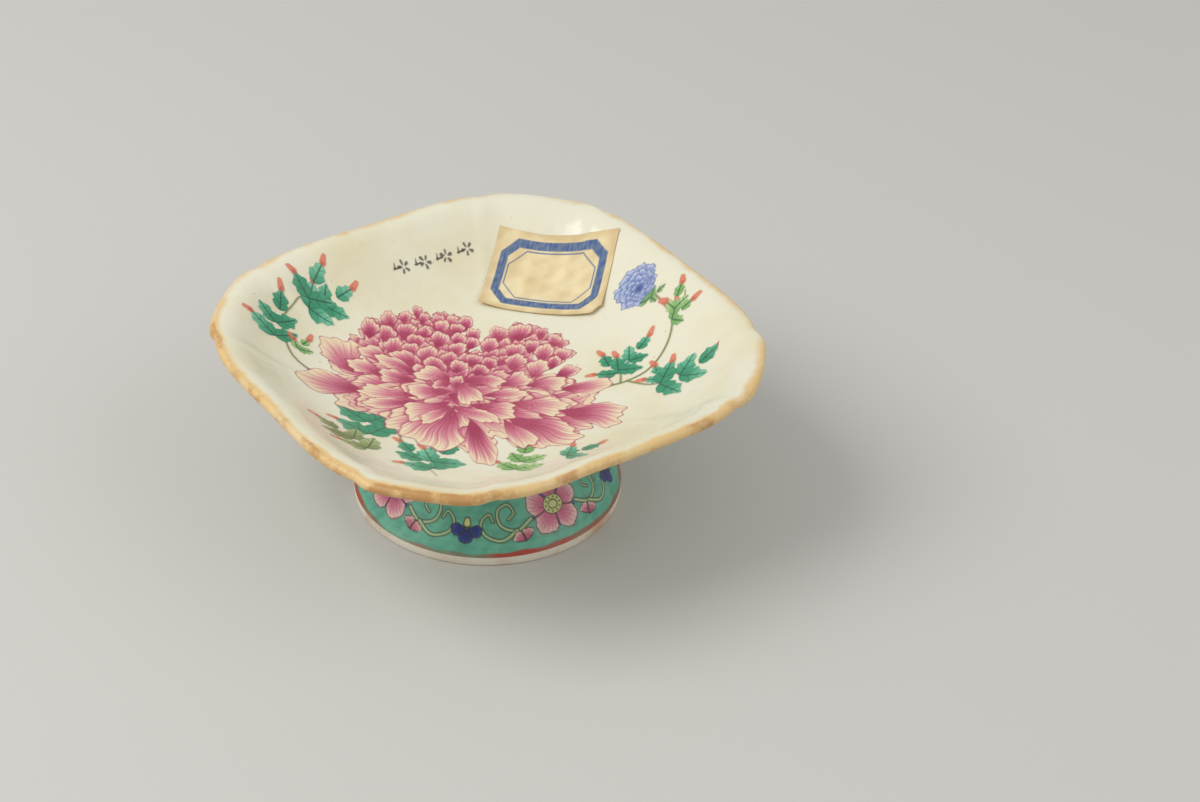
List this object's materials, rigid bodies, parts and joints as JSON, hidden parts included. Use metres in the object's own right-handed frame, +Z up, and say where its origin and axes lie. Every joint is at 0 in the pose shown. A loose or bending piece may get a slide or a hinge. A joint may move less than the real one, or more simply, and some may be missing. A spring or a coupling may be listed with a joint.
{
  "type": "footed dish",
  "caption": "Rounded-square porcelain dish with indented corners on a hollow flared foot, painted with a peony spray inside and lotus scroll on the foot.",
  "frame": {"origin": "centre of the foot's resting edge", "axes": "+Z up along the axis of the foot; the dish's four bulging sides face +X, -X, +Y and -Y; the paper label lies towards the +X +Y corner"},
  "size_m": [0.166, 0.166, 0.0638],
  "materials": {
    "glaze": "glossy off-white glaze with overglaze enamels and an ochre-brown rim",
    "slip": "matt fired slip under the glaze",
    "enamel": "satin turquoise-green enamel with a painted lotus scroll",
    "paste": "dried brownish paste",
    "paper": "aged matt paper with a blue printed frame"
  },
  "bodies": {
    "root": {"dish": "glaze", "luting_slip": "slip", "foot": "enamel", "label_paste": "paste", "paper_label": "paper"}
  },
  "joints": []
}
